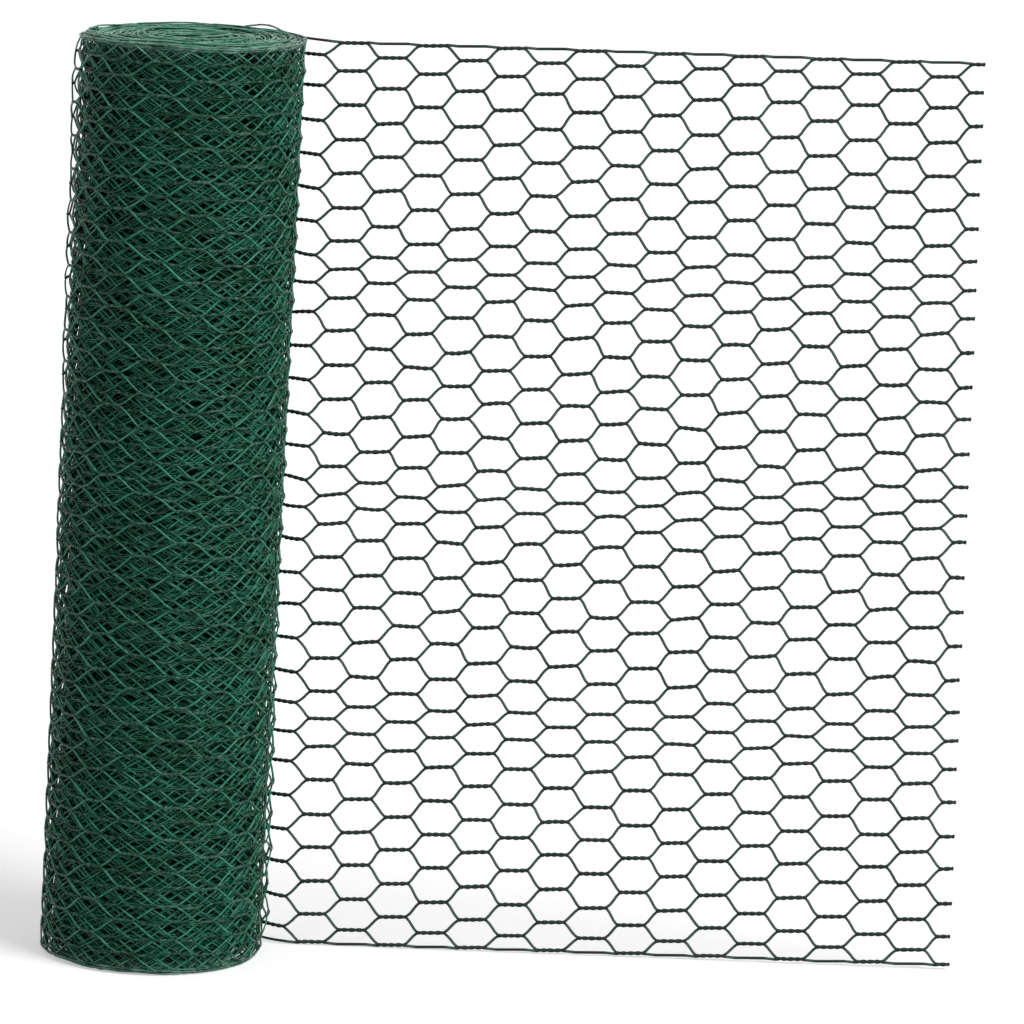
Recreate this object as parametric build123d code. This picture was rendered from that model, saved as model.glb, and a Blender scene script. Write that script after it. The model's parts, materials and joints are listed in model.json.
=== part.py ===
from build123d import *
import os
from math import ceil, cos, degrees, floor, hypot, radians, sin

# Roll of hexagonal wire netting, plastic coated, standing on its end with a length pulled off it.
# Millimetres. +Z is up along the roll's axis, the origin is on that axis at the floor, and the
# loose length (the tail) runs towards +X.

# Netting
NETTING_WIDTH = 900.0  # edge to edge, which is the height of the standing roll
WIRE_DIAMETER = 2.0  # over the plastic coat
MESH_ROWS = 28  # cells between the two edge wires
TWIST_LENGTH = 27.2  # stretch along which two neighbouring wires are twisted together
CELL_PERIOD = 77.7  # along the length, from one twist to the next in the same row

# Wound roll
ROLL_DIAMETER = 217.0
BORE_DIAMETER = 50.0  # left when the winding mandrel is drawn out
TURN_PITCH = 1.45  # from one turn of the netting to the next
TURNS_PER_GROOVE = 10  # the ends show one groove for so many turns
GROOVE_WIDTH = 4.0
GROOVE_DEPTH = 5.0

# Tail
TAIL_REACH = 777.0  # from the roll's axis to the cut end
TAIL_OFFSET = 32.0  # the flat length lies this far behind the roll's axis
LAP_LENGTH = 20.0  # the stretch of tail that still lies on the roll
LEAVING_ANGLE = 52.0  # degrees between the flat length and the tail where it leaves the roll
BEND_RADIUS = 40.0  # of the bend that turns the tail flat
FLAT_NODES = ("tail_near", "tail_middle", "tail_end")

CUT_OVERRUN = 5.0  # how far cutting tools reach past what they cut

# A twist is two wires side by side, and the outermost twists lie within the netting's width.
twist_half_height = WIRE_DIAMETER
row_pitch = (NETTING_WIDTH - 2 * twist_half_height) / MESH_ROWS
column_pitch = CELL_PERIOD / 2
slant_run = column_pitch - TWIST_LENGTH
slant_length = hypot(slant_run, row_pitch / 2)

# A hole is what the wires leave of the cell between their centre lines.
slant_inset = WIRE_DIAMETER * slant_length / row_pitch
hole_half_height = row_pitch / 2 - twist_half_height
hole_tip = TWIST_LENGTH / 2 + slant_run - slant_inset
hole_half_side = hole_tip - slant_run * hole_half_height / (row_pitch / 2)

# The tail's mid-surface seen from above: a lap on the roll, a straight run, a bend and the flat.
lap_radius = ROLL_DIAMETER / 2 + WIRE_DIAMETER / 2
lap_sweep = degrees(LAP_LENGTH / lap_radius)
leaving_place = 90.0 - LEAVING_ANGLE
run_start_x = lap_radius * cos(radians(leaving_place))
run_start_y = lap_radius * sin(radians(leaving_place))
bend_drop = BEND_RADIUS * (1 - cos(radians(LEAVING_ANGLE)))
run_length = (run_start_y - TAIL_OFFSET - bend_drop) / sin(radians(LEAVING_ANGLE))
bend_length = BEND_RADIUS * radians(LEAVING_ANGLE)
bend_start_x = run_start_x + run_length * cos(radians(LEAVING_ANGLE))
flat_start_x = bend_start_x + BEND_RADIUS * sin(radians(LEAVING_ANGLE))
flat_start = LAP_LENGTH + run_length + bend_length
tail_length = flat_start + TAIL_REACH - flat_start_x


def place_along(distance):
    """X of the point of the tail that lies this distance along the netting from where the lap starts."""
    if distance < LAP_LENGTH:
        angle = radians(leaving_place) + (LAP_LENGTH - distance) / lap_radius
        return lap_radius * cos(angle)
    if distance < LAP_LENGTH + run_length:
        return run_start_x + (distance - LAP_LENGTH) * cos(radians(LEAVING_ANGLE))
    if distance < flat_start:
        heading = radians(LEAVING_ANGLE) - (distance - LAP_LENGTH - run_length) / BEND_RADIUS
        return bend_start_x + BEND_RADIUS * (sin(radians(LEAVING_ANGLE)) - sin(heading))
    return flat_start_x + distance - flat_start


def hole_prism(outline):
    """A cutting tool of an outline of (distance along the netting, height) points."""
    depth = lap_radius + WIRE_DIAMETER + CUT_OVERRUN
    corners = [(place_along(along), depth, height) for along, height in outline]
    face = Face(Wire.make_polygon(corners, close=True))
    return Solid.extrude(face, Vector(0, -2 * depth, 0))


def column_holes(column):
    """Cutting tools for one column of cells, counted back from the cut end, where column 0 is cut."""
    centre = tail_length - column * column_pitch
    at_twists = column % 2 == 0
    first_height = twist_half_height + (row_pitch / 2 if at_twists else row_pitch)
    for row in range(MESH_ROWS if at_twists else MESH_ROWS - 1):
        height = first_height + row * row_pitch
        yield hole_prism([
            (centre - hole_tip, height),
            (centre - hole_half_side, height + hole_half_height),
            (centre + hole_half_side, height + hole_half_height),
            (centre + hole_tip, height),
            (centre + hole_half_side, height - hole_half_height),
            (centre - hole_half_side, height - hole_half_height),
        ])
    if not at_twists:
        for edge, inwards in ((0.0, 1), (NETTING_WIDTH, -1)):
            at_edge_wire = edge + inwards * WIRE_DIAMETER
            at_twist = edge + inwards * row_pitch / 2
            yield hole_prism([
                (centre - hole_tip, at_edge_wire),
                (centre + hole_tip, at_edge_wire),
                (centre + hole_half_side, at_twist),
                (centre - hole_half_side, at_twist),
            ])


def cut_cells(sheet, start, end):
    """A stretch of the tail, from start to end along the netting, with its cells cut out."""
    first = ceil((tail_length - end - hole_tip) / column_pitch)
    last = floor((tail_length - start + hole_tip) / column_pitch)
    tools = [tool for column in range(first, last + 1) for tool in column_holes(column)]
    return sheet.cut(*tools)


def make_roll():
    """The wound netting as one turned body with its bore, and grooves between turns on both ends."""
    bore = BORE_DIAMETER / 2
    outside = ROLL_DIAMETER / 2
    groove_pitch = TURN_PITCH * TURNS_PER_GROOVE
    groove_count = floor((outside - bore - GROOVE_WIDTH) / groove_pitch)
    groove_places = [outside - groove_pitch * (i + 0.5) for i in range(groove_count)]
    bottom_end = [(outside, 0)]
    for place in groove_places:
        bottom_end.append((place + GROOVE_WIDTH / 2, 0))
        bottom_end.append((place, GROOVE_DEPTH))
        bottom_end.append((place - GROOVE_WIDTH / 2, 0))
    bottom_end.append((bore, 0))
    top_end = [(radius, NETTING_WIDTH - height) for radius, height in reversed(bottom_end)]
    section = make_face(Plane.XZ * Polyline(*bottom_end, *top_end, close=True))
    return revolve(section, Axis.Z)


def swept_sheet(*edges):
    """A closed sheet as wide and as thick as the netting, swept along edges seen from above."""
    path = Wire([edge.edge() for edge in edges]).moved(Location((0, 0, NETTING_WIDTH / 2)))
    section_plane = Plane(path @ 0, x_dir=(0, 0, 1), z_dir=path % 0)
    return sweep(section_plane * Rectangle(NETTING_WIDTH, WIRE_DIAMETER), path).solid()


def make_tail_bend(flat_end_x):
    """The tail from its lap on the roll, along the straight run and round the bend, to the flat."""
    lap = CenterArc((0, 0), lap_radius, leaving_place + lap_sweep, -lap_sweep)
    run = Line(lap @ 1, lap @ 1 + (lap % 1) * run_length)
    bend = JernArc(run @ 1, run % 1, BEND_RADIUS, LEAVING_ANGLE)
    flat = Line(bend @ 1, (flat_end_x, TAIL_OFFSET))
    return cut_cells(swept_sheet(lap, run, bend, flat), 0, flat_start + flat_end_x - flat_start_x)


def make_tail_flat(start_x, end_x):
    """A flat stretch of the tail between two places along X."""
    sheet = Solid.make_box(end_x - start_x, WIRE_DIAMETER, NETTING_WIDTH)
    placed = sheet.moved(Location((start_x, TAIL_OFFSET - WIRE_DIAMETER / 2, 0)))
    start = flat_start + start_x - flat_start_x
    return cut_cells(placed, start, start + end_x - start_x)


def make_parts():
    """Every node by its name. The flat length is divided through the middle of its twists."""
    flat_columns = floor((TAIL_REACH - flat_start_x) / column_pitch)
    stretches = len(FLAT_NODES)
    dividers = [
        TAIL_REACH - column_pitch * round(flat_columns * (stretches - i) / stretches)
        for i in range(stretches + 1)
    ]
    parts = {"roll": make_roll(), "tail_bend": make_tail_bend(dividers[0])}
    for name, start_x, end_x in zip(FLAT_NODES, dividers, dividers[1:]):
        parts[name] = make_tail_flat(start_x, end_x)
    return parts


os.makedirs("parts", exist_ok=True)
for name, shape in make_parts().items():
    export_step(shape, f"parts/{name}.step")
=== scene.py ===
import json
import math

import bpy
from mathutils import Matrix, Vector


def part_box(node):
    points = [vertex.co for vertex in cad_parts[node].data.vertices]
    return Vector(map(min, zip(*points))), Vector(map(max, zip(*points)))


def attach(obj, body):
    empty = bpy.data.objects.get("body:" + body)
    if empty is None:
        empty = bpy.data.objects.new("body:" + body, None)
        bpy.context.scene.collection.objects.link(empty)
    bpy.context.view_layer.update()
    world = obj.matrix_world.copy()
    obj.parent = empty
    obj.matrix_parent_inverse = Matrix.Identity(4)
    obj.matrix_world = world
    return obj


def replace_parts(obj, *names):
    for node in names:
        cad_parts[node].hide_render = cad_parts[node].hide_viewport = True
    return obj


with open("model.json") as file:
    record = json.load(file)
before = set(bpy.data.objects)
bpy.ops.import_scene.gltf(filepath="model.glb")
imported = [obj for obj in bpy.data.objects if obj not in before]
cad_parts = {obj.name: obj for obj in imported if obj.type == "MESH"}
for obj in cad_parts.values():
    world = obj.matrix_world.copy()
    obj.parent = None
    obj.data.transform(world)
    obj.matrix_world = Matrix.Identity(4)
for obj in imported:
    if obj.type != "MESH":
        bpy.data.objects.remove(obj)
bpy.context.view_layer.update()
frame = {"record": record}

# The netting's path, seen from above. One length of netting, about twenty-five metres, comes from its
# cut end, runs flat, bends towards the roll and winds round it, turn inside turn, down to the bore
# that the winding mandrel leaves. Every wire below follows this line.
roll_low, roll_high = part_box("roll")
end_low, end_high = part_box("tail_end")
mounts = {mount["name"]: mount for mount in frame["record"]["mounts"]}

netting_width = roll_high.z
wire_diameter = 0.0020
turn_pitch = 0.00145
bore_radius = mounts["bore"]["dims"]["r_mm"] / 1000
lap_radius = roll_high.y + wire_diameter / 2
cut_end = Vector((end_high.x, (end_low.y + end_high.y) / 2))
leaving_angle = math.radians(52)
bend_radius = 0.040
path_step = 0.004

leaving_place = math.pi / 2 - leaving_angle
run_start = Vector((math.cos(leaving_place), math.sin(leaving_place))) * lap_radius
off_roll = Vector((math.cos(leaving_angle), -math.sin(leaving_angle)))
bend_drop = bend_radius * (1 - math.cos(leaving_angle))
run_length = (run_start.y - cut_end.y - bend_drop) / math.sin(leaving_angle)
flat_start_x = run_start.x + run_length * off_roll.x + bend_radius * math.sin(leaving_angle)
bend_centre = Vector((flat_start_x, cut_end.y + bend_radius))

flat_length = cut_end.x - flat_start_x
bend_length = bend_radius * leaving_angle
tail_length = flat_length + bend_length + run_length
innermost_radius = bore_radius + wire_diameter
wound_length = math.pi * (lap_radius**2 - innermost_radius**2) / turn_pitch


def path_point(distance):
    """The place, seen from above, this far along the netting from its cut end."""
    if distance < flat_length:
        return cut_end - Vector((distance, 0))
    distance -= flat_length
    if distance < bend_length:
        turned = distance / bend_radius
        return bend_centre - Vector((math.sin(turned), math.cos(turned))) * bend_radius
    distance -= bend_length
    if distance < run_length:
        return run_start + off_roll * (run_length - distance)
    distance -= run_length
    radius = math.sqrt(max(lap_radius**2 - turn_pitch * distance / math.pi, 0))
    angle = leaving_place + (lap_radius - radius) * 2 * math.pi / turn_pitch
    return Vector((math.cos(angle), math.sin(angle))) * radius


path_points = math.ceil((tail_length + wound_length) / path_step)
path_curve = bpy.data.curves.new("netting_path", "CURVE")
path_curve.dimensions = "3D"
path_spline = path_curve.splines.new("POLY")
path_spline.points.add(path_points - 1)
for number, point in enumerate(path_spline.points):
    point.co = (*path_point(number * path_step), 0, 1)


# The green coat. The steel wire is twisted into netting first, and the netting is then dipped in
# plastic, which is satin and a little uneven in tone. Light and shade are painted into the colour as
# well: painted shade in the twists, painted highlights on the slants and on the turns further in,
# painted glints, a painted highlight at both edges of the roll, and painted shade on the loose length.
def linear(*srgb):
    """An sRGB colour given in 0 to 255, as the renderer counts it."""
    shares = [value / 255 for value in srgb]
    return (*[s / 12.92 if s < 0.04045 else ((s + 0.055) / 1.055) ** 2.4 for s in shares], 1)


def noise(tree, coordinates, size, detail=2.0):
    """A mottle whose patches are about this size, in metres."""
    node = tree.nodes.new("ShaderNodeTexNoise")
    node.inputs["Scale"].default_value = 1 / size
    node.inputs["Detail"].default_value = detail
    tree.links.new(coordinates, node.inputs["Vector"])
    return node.outputs["Fac"]


def stretch(tree, value, start, end, low, high):
    """A value that runs from low to high while the given one runs from start to end."""
    node = tree.nodes.new("ShaderNodeMapRange")
    node.inputs["From Min"].default_value = start
    node.inputs["From Max"].default_value = end
    node.inputs["To Min"].default_value = low
    node.inputs["To Max"].default_value = high
    tree.links.new(value, node.inputs["Value"])
    return node.outputs["Result"]


def mix_colours(tree, share, first, second):
    """Two colours, or what nodes make of them, mixed by a share."""
    node = tree.nodes.new("ShaderNodeMix")
    node.data_type = "RGBA"
    tree.links.new(share, node.inputs["Factor"])
    for socket, colour in ((node.inputs["A"], first), (node.inputs["B"], second)):
        if isinstance(colour, tuple):
            socket.default_value = colour
        else:
            tree.links.new(colour, socket)
    return node.outputs["Result"]


def attribute(tree, name):
    """A value that the mesh brings with it."""
    node = tree.nodes.new("ShaderNodeAttribute")
    node.attribute_name = name
    return node.outputs["Fac"]


def make_green_coat():
    material = bpy.data.materials.new("green_coat")
    material.use_nodes = True
    tree = material.node_tree
    shader = tree.nodes["Principled BSDF"]
    place = tree.nodes.new("ShaderNodeTexCoord").outputs["Object"]
    tail_share = attribute(tree, "tail_share")
    painted_light_share = attribute(tree, "painted_light_share")

    # Painted shade in the twists and a painted highlight on the slants, painted shade that makes the
    # loose length darker and greyer, painted glints, and a painted highlight at both edges of the roll
    patch_size, glint_size, edge_highlight_size, highlit_edge_band = 0.045, 0.005, 0.012, 0.014
    roll_shaded_twist_greens = linear(0, 44, 27), linear(2, 62, 43)
    roll_lit_slant_greens = linear(5, 84, 59), linear(38, 128, 100)
    tail_shaded_twist_greens = linear(20, 33, 28), linear(32, 48, 42)
    tail_shaded_slant_greens = linear(46, 64, 57), linear(72, 95, 86)
    glint_green = linear(90, 148, 128)
    edge_highlight_green = linear(150, 194, 178)
    patches = stretch(tree, noise(tree, place, patch_size), 0.3, 0.7, 0, 1)
    # Pale specks mottled over the roll: painted glints
    glints = stretch(tree, noise(tree, place, glint_size, detail=3), 0.42, 0.68, 0, 0.5)
    # A mottled painted highlight that makes the edge wires paler at the top and foot of the roll
    edge_highlights = stretch(tree, noise(tree, place, edge_highlight_size, detail=3), 0.35, 0.65, 0, 0.55)
    axes = tree.nodes.new("ShaderNodeSeparateXYZ")
    tree.links.new(place, axes.inputs["Vector"])
    near_top = stretch(tree, axes.outputs["Z"], netting_width - highlit_edge_band, netting_width, 0, 1)
    near_floor = stretch(tree, axes.outputs["Z"], highlit_edge_band, 0, 0, 1)
    in_twists = mix_colours(tree, patches, *roll_shaded_twist_greens)
    on_slants = mix_colours(tree, patches, *roll_lit_slant_greens)
    # Painted shade in the twists and a painted highlight on the slants. The turns further in take the
    # slant colours all over, as painted light against their shade
    on_roll = mix_colours(tree, painted_light_share, in_twists, on_slants)
    on_roll = mix_colours(tree, glints, on_roll, glint_green)
    # The painted highlight mixed in near both edges of the roll
    edge_lit = mix_colours(tree, edge_highlights, on_roll, edge_highlight_green)
    on_roll = mix_colours(tree, near_top, on_roll, edge_lit)
    on_roll = mix_colours(tree, near_floor, on_roll, edge_lit)
    # The loose length in darker, greyer copies of the roll's greens: painted shade
    in_twists = mix_colours(tree, patches, *tail_shaded_twist_greens)
    on_slants = mix_colours(tree, patches, *tail_shaded_slant_greens)
    on_tail = mix_colours(tree, painted_light_share, in_twists, on_slants)
    colour = mix_colours(tree, tail_share, on_roll, on_tail)
    tree.links.new(colour, shader.inputs["Base Color"])

    # Satin, a little duller on the loose length, with small bumps
    gloss_patch_size, tail_dullness, bump_size, bump_height = 0.02, 0.2, 0.0018, 0.0002
    shader.inputs["Specular IOR Level"].default_value = 0.25
    uneven_gloss = stretch(tree, noise(tree, place, gloss_patch_size), 0.3, 0.7, 0.28, 0.44)
    duller = tree.nodes.new("ShaderNodeMath")
    duller.operation = "MULTIPLY_ADD"
    duller.inputs[1].default_value = tail_dullness
    tree.links.new(tail_share, duller.inputs[0])
    tree.links.new(uneven_gloss, duller.inputs[2])
    tree.links.new(duller.outputs["Value"], shader.inputs["Roughness"])
    bump = tree.nodes.new("ShaderNodeBump")
    bump.inputs["Distance"].default_value = bump_height
    bump.inputs["Strength"].default_value = 0.4
    tree.links.new(noise(tree, place, bump_size, detail=3), bump.inputs["Height"])
    tree.links.new(bump.outputs["Normal"], shader.inputs["Normal"])
    return material


green_coat = make_green_coat()


# The loose length of netting. Neighbouring wires are twisted together in pairs, first with the
# wire on one side and then with the wire on the other, which leaves six-sided cells, and an
# edge wire is twisted into each side. The free end was cut with snips through a column of twists.
class Field:
    """A number that geometry nodes work out, so that a rule can be written as a plain sum."""

    def __init__(self, tree, socket):
        self.tree = tree
        self.socket = socket

    def math(self, operation, *others):
        node = self.tree.nodes.new("ShaderNodeMath")
        node.operation = operation
        for socket, value in zip(node.inputs, (self, *others)):
            if isinstance(value, Field):
                self.tree.links.new(value.socket, socket)
            else:
                socket.default_value = value
        return Field(self.tree, node.outputs["Value"])

    def limited(self):
        return self.math("MAXIMUM", 0).math("MINIMUM", 1)

    def __add__(self, other):
        return self.math("ADD", other)

    def __sub__(self, other):
        return self.math("SUBTRACT", other)

    def __mul__(self, other):
        return self.math("MULTIPLY", other)

    def __truediv__(self, other):
        return self.math("DIVIDE", other)

    def __neg__(self):
        return self * -1

    __radd__ = __add__
    __rmul__ = __mul__

    def __rsub__(self, other):
        return -self + other


def pick(share, at_one, at_zero):
    """One value where the share is 1 and another where it is 0."""
    return share * (at_one - at_zero) + at_zero


def add_inputs(tree, wanted):
    """Named inputs of a node tree, as fields. The geometry and the material stay sockets."""
    kinds = {"whole": "NodeSocketInt", "number": "NodeSocketFloat", "material": "NodeSocketMaterial"}
    tree.interface.new_socket("Path", in_out="INPUT", socket_type="NodeSocketGeometry")
    for name, kind in wanted:
        tree.interface.new_socket(name, in_out="INPUT", socket_type=kinds[kind])
    tree.interface.new_socket("Netting", in_out="OUTPUT", socket_type="NodeSocketGeometry")
    outputs = tree.nodes.new("NodeGroupInput").outputs
    fields = [
        outputs[name] if kind == "material" else Field(tree, outputs[name])
        for name, kind in wanted
    ]
    return outputs["Path"], fields


def make_netting_tree():
    """Twisted wires along a path. Places along the netting are counted in columns of twists from
    the cut end, and wires from the lower edge, where wire -1 is the edge wire itself."""
    tree = bpy.data.node_groups.new("twisted_netting", "GeometryNodeTree")
    path, fields = add_inputs(tree, (
        ("First column", "number"), ("Last column", "number"), ("First wire", "whole"),
        ("Wires", "whole"), ("Points per column", "whole"), ("Sides", "whole"),
        ("Turns per twist", "number"), ("Wire radius", "number"), ("Tail radius", "number"),
        ("Rows", "number"), ("Margin", "number"), ("Row pitch", "number"),
        ("Column pitch", "number"), ("Tail twist", "number"),
        ("Roll twist", "number"), ("Flat length", "number"), ("Tail length", "number"),
        ("Roll lean", "number"), ("Cut lean", "number"), ("Tail tilt", "number"),
        ("Bulge", "number"), ("End lift", "number"), ("First turn", "number"),
        ("Loose gap", "number"), ("Seed", "number"), ("Material", "material"),
    ))
    (first_column, last_column, first_wire, wires, points_per_column, sides, turns, roll_radius,
     tail_radius, rows, margin, row_pitch, column_pitch, tail_twist, roll_twist, flat, tail,
     roll_lean, cut_lean, tail_tilt, bulge, end_lift, first_turn, loose_gap, seed, material) = fields

    def node(kind, settings=(), **links):
        made = tree.nodes.new(kind)
        for name, value in settings:
            setattr(made, name, value)
        for name, value in links.items():
            socket = made.inputs[name.replace("_", " ")]
            tree.links.new(value.socket if isinstance(value, Field) else value, socket)
        return made

    def vector(operation, *values):
        made = node("ShaderNodeVectorMath", [("operation", operation)])
        for socket, value in zip(made.inputs, values):
            if isinstance(value, tuple):
                socket.default_value = value
            else:
                tree.links.new(value.socket if isinstance(value, Field) else value, socket)
        return made.outputs["Vector"]

    # Straight wires with as many points as are asked for, one for each wire of the netting
    points = ((last_column - first_column) * points_per_column).math("ROUND") + 1
    line = node("GeometryNodeCurvePrimitiveLine")
    one_wire = node("GeometryNodeResampleCurve", Curve=line.outputs[0], Count=points)
    starts = node("GeometryNodeMeshLine", Count=wires)
    placed = node("GeometryNodeInstanceOnPoints", Points=starts.outputs[0], Instance=one_wire.outputs[0])
    straight_wires = node("GeometryNodeRealizeInstances", Geometry=placed.outputs[0])
    numbering = node("GeometryNodeCurveOfPoint")
    wire = first_wire + Field(tree, numbering.outputs["Curve Index"])
    column = first_column + Field(tree, numbering.outputs["Index in Curve"]) / points_per_column

    # Heights at which a wire is twisted with its two neighbours, and its side of each twist
    odd_wire = wire.math("FLOORED_MODULO", 2)
    pair = (wire / 2).math("FLOOR")
    edge_wire = wire.math("LESS_THAN", -0.5).math("MAXIMUM", wire.math("GREATER_THAN", rows * 2 - 0.5))
    height_a = margin + (pair + odd_wire) * row_pitch
    between_edges = ((pair + 0.5) * row_pitch).math("MAXIMUM", 0).math("MINIMUM", rows * row_pitch)
    height_b = between_edges + margin
    side_a = 1 - odd_wire * 2
    side_b = side_a * (edge_wire * 2 - 1)

    # How far a point is from the middle of its twist, and along the slant to the next one
    twist_point_share = 0.75
    rounding = 0.0001
    twist_number = (column + 0.5).math("FLOOR")
    at_b = twist_number.math("FLOORED_MODULO", 2)
    off_middle = column - twist_number
    reach = off_middle.math("ABSOLUTE")
    on_slant = reach.math("GREATER_THAN", twist_point_share / 2 + rounding)
    slant_share = ((reach - twist_point_share / 2) / (1 - twist_point_share)).math("MAXIMUM", 0)
    twist_share = (off_middle / twist_point_share).math("MAXIMUM", -0.5).math("MINIMUM", 0.5)

    def on_roll(distance):
        """0 on the flat length and 1 where the netting lies on the roll."""
        return ((distance - flat) / (tail - flat)).limited()

    twist_length = pick(on_roll(twist_number * column_pitch), roll_twist, tail_twist)
    slant_run = column_pitch - twist_length
    from_middle = twist_share * twist_length + off_middle.math("SIGN") * slant_share * slant_run
    along = twist_number * column_pitch + from_middle

    # Round each other in the twist, and from one twist to the other on the slant
    helix_share = 0.6
    soft_share = 0.4
    here = pick(at_b, height_b, height_a)
    there = pick(at_b, height_a, height_b)
    side_here = pick(at_b, side_b, side_a)
    side_there = pick(at_b, side_a, side_b)
    wound = turns * (1 - edge_wire * at_b)
    angle = side_here * (math.pi / 2) + wound * (twist_share + 0.5) * (2 * math.pi)
    radius = pick(on_roll(along), roll_radius, tail_radius)
    helix_radius = radius * helix_share
    tilt = tail_tilt * twist_length * (1 - on_roll(twist_number * column_pitch))
    end_tilt = tilt * off_middle.math("SIGN") * 0.5
    in_front = helix_radius * angle.math("COSINE") * (1 - on_slant)
    in_twist = here + helix_radius * angle.math("SINE") + tilt * twist_share
    leaves = here + helix_radius * side_here + end_tilt
    arrives = there + helix_radius * side_there - end_tilt
    softened = slant_share * slant_share * (3 - slant_share * 2)
    across = leaves + (arrives - leaves) * (slant_share * (1 - soft_share) + softened * soft_share)
    height = pick(on_slant, across, in_twist)

    # Cells that are not quite alike, rows that lie closer at every seventh, and a wavy sheet
    def wander(size, loose, rolled):
        """Offsets along, up and out of the sheet that change over about this distance."""
        amount = pick(on_roll(along), rolled, loose)
        place = node("ShaderNodeCombineXYZ", X=along / size, Y=height / size, Z=seed)
        texture = node("ShaderNodeTexNoise", Vector=place.outputs[0])
        texture.inputs["Scale"].default_value = 1
        texture.inputs["Detail"].default_value = 1
        axes = node("ShaderNodeSeparateXYZ", Vector=texture.outputs["Color"])
        return [(Field(tree, axis) - 0.5) * amount for axis in axes.outputs]

    cell_along, cell_up, cell_out = wander(size=0.045, loose=0.0080, rolled=0.0080)
    sheet_out = wander(size=0.32, loose=0.0080, rolled=0.0020)[2]
    pulled_along, pulled_up, _ = wander(size=0.14, loose=0.0, rolled=0.0180)
    wave_length, wave_floor, wave_height = 0.25, 0.42, 0.03
    level = node("ShaderNodeCombineXYZ", X=along / wave_length, Z=seed)
    level_texture = node("ShaderNodeTexNoise", Vector=level.outputs[0])
    level_texture.inputs["Scale"].default_value = 1
    wave = (Field(tree, level_texture.outputs["Fac"]) - wave_floor).math("MAXIMUM", 0)
    lifted = wave * on_roll(along) * wave_height
    rows_per_swing, swing_share, half_swing_share, rolled_swing_share = 7, -0.111, -0.0425, 0.25
    row_angle = (height - margin) / row_pitch * (2 * math.pi / rows_per_swing)
    uneven = row_angle.math("SINE") * swing_share + (row_angle * 2).math("SINE") * half_swing_share
    row_swing = uneven * row_pitch * pick(on_roll(along), rolled_swing_share, 1.0)
    up_share = (height - margin) / (rows * row_pitch)
    held_at_edges = up_share * (1 - up_share) * 4
    inside = 1 - edge_wire
    unrolled = (1 - along / tail).math("MAXIMUM", 0)

    # The outermost turn stands off, at its top on one side of the roll and at its foot on the other,
    # and springs up in a loop where the loose length leaves the roll
    loops_in_turn, loosens_in_turn, tightens_in_turn, loose_turns = 9, 6, 5, 1.1
    half_way, crossing_share, edge_hold, ripple, loop_out, loop_up = 0.5, 0.3, 8, 200, 1.4, 0.8
    turned = (along - tail) / first_turn
    loop = ((turned * loops_in_turn).limited() * math.pi).math("SINE").math("POWER", 2)
    loosens = (turned * loosens_in_turn).limited()
    tightens = ((loose_turns - turned) * tightens_in_turn).limited()
    towards_foot = ((turned - half_way) / crossing_share).limited()
    top_and_foot = pick(towards_foot, (1 - up_share).math("POWER", 3), up_share.math("POWER", 3))
    tight_edges = (held_at_edges * edge_hold).limited()
    bellied = loosens * tightens * top_and_foot * tight_edges * (1 + cell_out * ripple)
    loosened = loose_gap * (bellied + loop * loop_out)
    sprung = loose_gap * loop * up_share.math("POWER", 3) * loop_up
    swollen = (cell_up + pulled_up + bulge) * held_at_edges
    rise = row_swing + swollen + lifted + sprung + end_lift * unrolled

    # On to the path, with the roll leaning a little one way and the cut end the other
    pulled_share, dent_share = 0.5, 0.3
    along_path = along + (cell_along + pulled_along * pulled_share) * inside
    on_path = node("GeometryNodeSampleCurve", [("mode", "LENGTH")], Curves=path, Length=along_path)
    outwards = vector("CROSS_PRODUCT", on_path.outputs["Tangent"], (0, 0, 1))
    stand_off = in_front + cell_out * dent_share + sheet_out + loosened
    leaning = pick(unrolled, cut_lean, roll_lean) * (up_share * 2 - 1)
    shifted = node("ShaderNodeCombineXYZ", X=leaning, Z=height + rise)
    above_path = vector("ADD", on_path.outputs["Position"], shifted.outputs[0])
    position = vector("MULTIPLY_ADD", outwards, stand_off, above_path)
    bent_wires = node("GeometryNodeSetPosition", Geometry=straight_wires.outputs[0], Position=position)

    # What the coat needs to know: how far a point is off the roll, and how much painted light a point
    # gets, from painted shade in the twists to a painted highlight on the slants and on the turns
    # further in
    slant_highlight_gain, turns_before_painted_light = 4, 4
    tail_share = ((1 - on_roll(along)) * 2).math("MINIMUM", 1)
    painted_light_share = (slant_share * slant_highlight_gain + (turned - turns_before_painted_light).limited()).limited()
    marked = bent_wires
    for name, value in (("tail_share", tail_share), ("painted_light_share", painted_light_share)):
        marked = node("GeometryNodeStoreNamedAttribute", Geometry=marked.outputs[0], Value=value)
        marked.inputs["Name"].default_value = name

    # Round wires with flat ends
    section = node("GeometryNodeCurvePrimitiveCircle", Resolution=sides)
    swept = {"Curve": marked.outputs[0], "Profile_Curve": section.outputs[0], "Scale": radius}
    tubes = node("GeometryNodeCurveToMesh", **swept)
    tubes.inputs["Fill Caps"].default_value = True
    corners = node("GeometryNodeInputMeshFaceNeighbors").outputs["Vertex Count"]
    is_side = Field(tree, corners).math("COMPARE", 4, 0.5)
    smooth = node("GeometryNodeSetShadeSmooth", Geometry=tubes.outputs[0], Selection=is_side)
    realized = node("GeometryNodeRealizeInstances", Geometry=smooth.outputs[0])
    coated = node("GeometryNodeSetMaterial", Geometry=realized.outputs[0], Material=material)
    tree.links.new(coated.outputs[0], tree.nodes.new("NodeGroupOutput").inputs["Netting"])
    return tree


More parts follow.
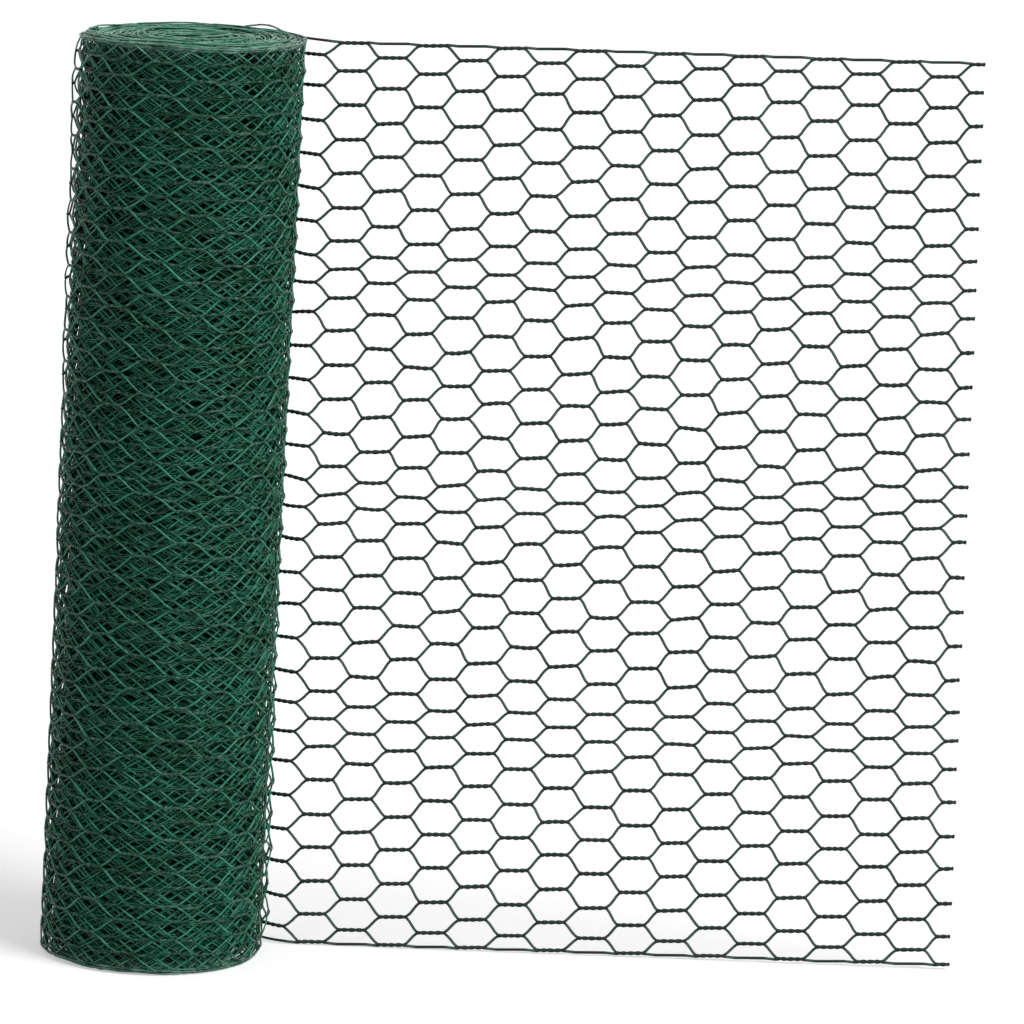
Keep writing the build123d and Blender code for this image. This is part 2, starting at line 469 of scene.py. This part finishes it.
netting_tree = make_netting_tree()
mesh_rows = 28
netting_sizes = {
    "Wire radius": wire_diameter / 2,
    "Tail radius": 0.0015,
    "Rows": mesh_rows,
    "Margin": 0.0024,
    "Row pitch": (netting_width - 2 * wire_diameter) / mesh_rows,
    "Column pitch": 0.03885,
    "Tail twist": 0.0272,
    "Roll twist": 0.0180,
    "Flat length": flat_length,
    "Tail length": tail_length,
    "Roll lean": 0.0085,
    "Cut lean": -0.0060,
    "Tail tilt": -0.037,
    "Bulge": 0.0045,
    "End lift": 0.0030,
    "First turn": 2 * math.pi * lap_radius,
    "Loose gap": 0.0060,
    "Seed": 4.0,
    "Material": green_coat,
}


def weave(name, **sizes):
    """A stretch of netting as a plain mesh that rides on the roll's body."""
    maker = bpy.data.objects.new(name + "_maker", path_curve)
    bpy.context.collection.objects.link(maker)
    modifier = maker.modifiers.new("netting", "NODES")
    modifier.node_group = netting_tree
    items = netting_tree.interface.items_tree
    sockets = {item.name: item.identifier for item in items if item.in_out == "INPUT"}
    own_sizes = {key.replace("_", " ").capitalize(): value for key, value in sizes.items()}
    values = netting_sizes | own_sizes
    for key, value in values.items():
        modifier[sockets[key]] = value
    evaluated = maker.evaluated_get(bpy.context.evaluated_depsgraph_get())
    mesh = bpy.data.meshes.new_from_object(evaluated)
    bpy.data.objects.remove(maker)
    mesh.name = name
    piece = bpy.data.objects.new(name, mesh)
    bpy.context.collection.objects.link(piece)
    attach(piece, "root")
    return piece


def columns_at(place):
    """The number of columns of twists between the cut end and a place on the flat length."""
    return round((cut_end.x - place) / netting_sizes["Column pitch"])


all_wires = {"first_wire": -1, "wires": 2 * mesh_rows + 2}
tail_detail = {"points_per_column": 16, "sides": 5, "turns_per_twist": 2.0, "wire_radius": 0.0011}
lap_length = 0.020
tail_columns = round((tail_length + lap_length) / netting_sizes["Column pitch"])
for node_name in ("tail_end", "tail_middle", "tail_near"):
    low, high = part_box(node_name)
    span = {"first_column": columns_at(high.x), "last_column": columns_at(low.x)}
    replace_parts(weave(node_name + "_netting", **span, **all_wires, **tail_detail), node_name)
bend_span = {"first_column": columns_at(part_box("tail_bend")[1].x), "last_column": tail_columns}
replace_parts(weave("tail_bend_netting", **bend_span, **all_wires, **tail_detail), "tail_bend")

# The wound roll. The same netting, wound tight on a mandrel at the works, lies turn upon turn, so
# its cells never line up and the roll is dark inside. The outer turns show each wire, and
# the turns further in are seen only through them.
inner_wires = {"first_wire": 1, "wires": 2 * mesh_rows - 2}
last_column = math.floor((tail_length + wound_length) / netting_sizes["Column pitch"])


def turn_column(turns_wound):
    """The column of twists at which so many turns, counted from outside, have been passed."""
    radius = lap_radius - turn_pitch * turns_wound
    distance = tail_length + math.pi * (lap_radius**2 - radius**2) / turn_pitch
    return round(distance / netting_sizes["Column pitch"])


shown = {"points_per_column": 16, "sides": 4, "turns_per_twist": 2.0, "wire_radius": 0.0011}
half_hidden = {"points_per_column": 8, "sides": 3, "turns_per_twist": 1.0, "wire_radius": 0.0012}
hidden = {"points_per_column": 3, "sides": 3, "turns_per_twist": 0.0, "wire_radius": 0.0015}
unseen = {"points_per_column": 2, "sides": 3, "turns_per_twist": 0.0, "wire_radius": 0.0017}
twist_end = 0.25  # of a column: two points in each column lie near the ends of its twists
roll_turns = (
    ("roll_outer_turns", tail_columns, turn_column(1.05), shown),
    ("roll_second_turns", turn_column(1.05), turn_column(4.5), half_hidden),
    ("roll_third_turns", turn_column(4.5), turn_column(10), hidden),
    ("roll_middle_turns", turn_column(10) + twist_end, turn_column(28) + twist_end, unseen),
    ("roll_inner_turns", turn_column(28) + twist_end, last_column - twist_end, unseen),
)
for piece_name, start, end, detail in roll_turns:
    piece = weave(piece_name, first_column=start, last_column=end, **inner_wires, **detail)
    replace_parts(piece, "roll")

# The roll's two ends. Each turn ends in the edge wire with the outermost wire of the netting
# twisted round it, and these spirals are what shows on the roll's top and what it stands on.
edge_detail = {"points_per_column": 8, "sides": 3, "turns_per_twist": 1.0}
for piece_name, first_wire in (("roll_lower_edge", -1), ("roll_upper_edge", 2 * mesh_rows - 1)):
    span = {"first_column": tail_columns, "last_column": last_column}
    piece = weave(piece_name, first_wire=first_wire, wires=2, **span, **edge_detail)
    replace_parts(piece, "roll")

# The floor. A plain matt white sheet that the roll stands on, laid flat a hair below it. It is lit so
# evenly that nothing but the object's soft shadow shows on it.
floor_half = 30.0
floor_drop = 0.0002
floor_grey = (0.7, 0.7, 0.7, 1)
floor_glow = 0.45


def in_view(tree):
    """1 where the camera looks, also by way of a reflection or through something, and 0 elsewhere."""
    rays = tree.nodes.new("ShaderNodeLightPath")
    total = rays.outputs["Is Camera Ray"]
    for kind in ("Is Glossy Ray", "Is Transmission Ray"):
        either = tree.nodes.new("ShaderNodeMath")
        either.operation = "MAXIMUM"
        tree.links.new(total, either.inputs[0])
        tree.links.new(rays.outputs[kind], either.inputs[1])
        total = either.outputs["Value"]
    return total


floor_mesh = bpy.data.meshes.new("floor")
square = ((-1, -1), (1, -1), (1, 1), (-1, 1))
floor_corners = [(x * floor_half, y * floor_half, -floor_drop) for x, y in square]
floor_mesh.from_pydata(floor_corners, [], [(0, 1, 2, 3)])
floor = bpy.data.objects.new("floor", floor_mesh)
bpy.context.collection.objects.link(floor)
floor_paint = bpy.data.materials.new("floor_white")
floor_paint.use_nodes = True
floor_tree = floor_paint.node_tree
floor_shader = floor_tree.nodes["Principled BSDF"]
floor_shader.inputs["Base Color"].default_value = floor_grey
floor_shader.inputs["Roughness"].default_value = 1.0
floor_shader.inputs["Specular IOR Level"].default_value = 0.0
floor_shader.inputs["Emission Color"].default_value = (1, 1, 1, 1)
floor_view = floor_tree.nodes.new("ShaderNodeMath")
floor_view.operation = "MULTIPLY"
floor_view.inputs[1].default_value = floor_glow
floor_tree.links.new(in_view(floor_tree), floor_view.inputs[0])
floor_tree.links.new(floor_view.outputs[0], floor_shader.inputs["Emission Strength"])
floor_mesh.materials.append(floor_paint)

# The light. A white room that lights the object evenly from all sides, and one large soft lamp, high
# up in front on the right, that leaves the roll's left side a little darker.
room_glow = 0.4
room_white = 1.0
scene = bpy.context.scene
scene.view_settings.view_transform = "Standard"
room = bpy.data.worlds.new("white_room")
room.use_nodes = True
scene.world = room
room_tree = room.node_tree
room_light = room_tree.nodes["Background"]
room_light.inputs["Color"].default_value = (1, 1, 1, 1)
room_strength = room_tree.nodes.new("ShaderNodeMapRange")
room_strength.inputs["To Min"].default_value = room_glow
room_strength.inputs["To Max"].default_value = room_white
room_tree.links.new(in_view(room_tree), room_strength.inputs["Value"])
room_tree.links.new(room_strength.outputs["Result"], room_light.inputs["Strength"])
lamp_data = bpy.data.lights.new("lamp", "SUN")
lamp_data.energy = 2.4
lamp_data.angle = math.radians(30)
lamp = bpy.data.objects.new("lamp", lamp_data)
lamp_from = Vector((1.0, -0.75, 1.15))
lamp.rotation_euler = lamp_from.to_track_quat("Z", "Y").to_euler()
bpy.context.collection.objects.link(lamp)

# The camera. A long lens, far off and a little above the roll, and turned by two degrees about its
# own line of sight, so that the roll stands a little askew in the picture.
camera_data = bpy.data.cameras.new("camera")
camera_data.lens = 198.6
camera_data.sensor_width = 36.0
camera = bpy.data.objects.new("camera", camera_data)
bpy.context.collection.objects.link(camera)
camera_target = Vector((0.3316, 0, 0.4509))
camera_elevation = math.radians(10.45)
camera_distance = 5.5
camera_tilt = math.radians(2.22)
camera_back = Vector((0, -math.cos(camera_elevation), math.sin(camera_elevation)))
aim = (-camera_back).to_track_quat("-Z", "Y").to_matrix()
tilt = Matrix.Rotation(camera_tilt, 3, camera_back)
camera_place = Matrix.Translation(camera_target + camera_back * camera_distance)
camera.matrix_world = camera_place @ (tilt @ aim).to_4x4()
camera_data.clip_end = 100.0
scene.camera = camera
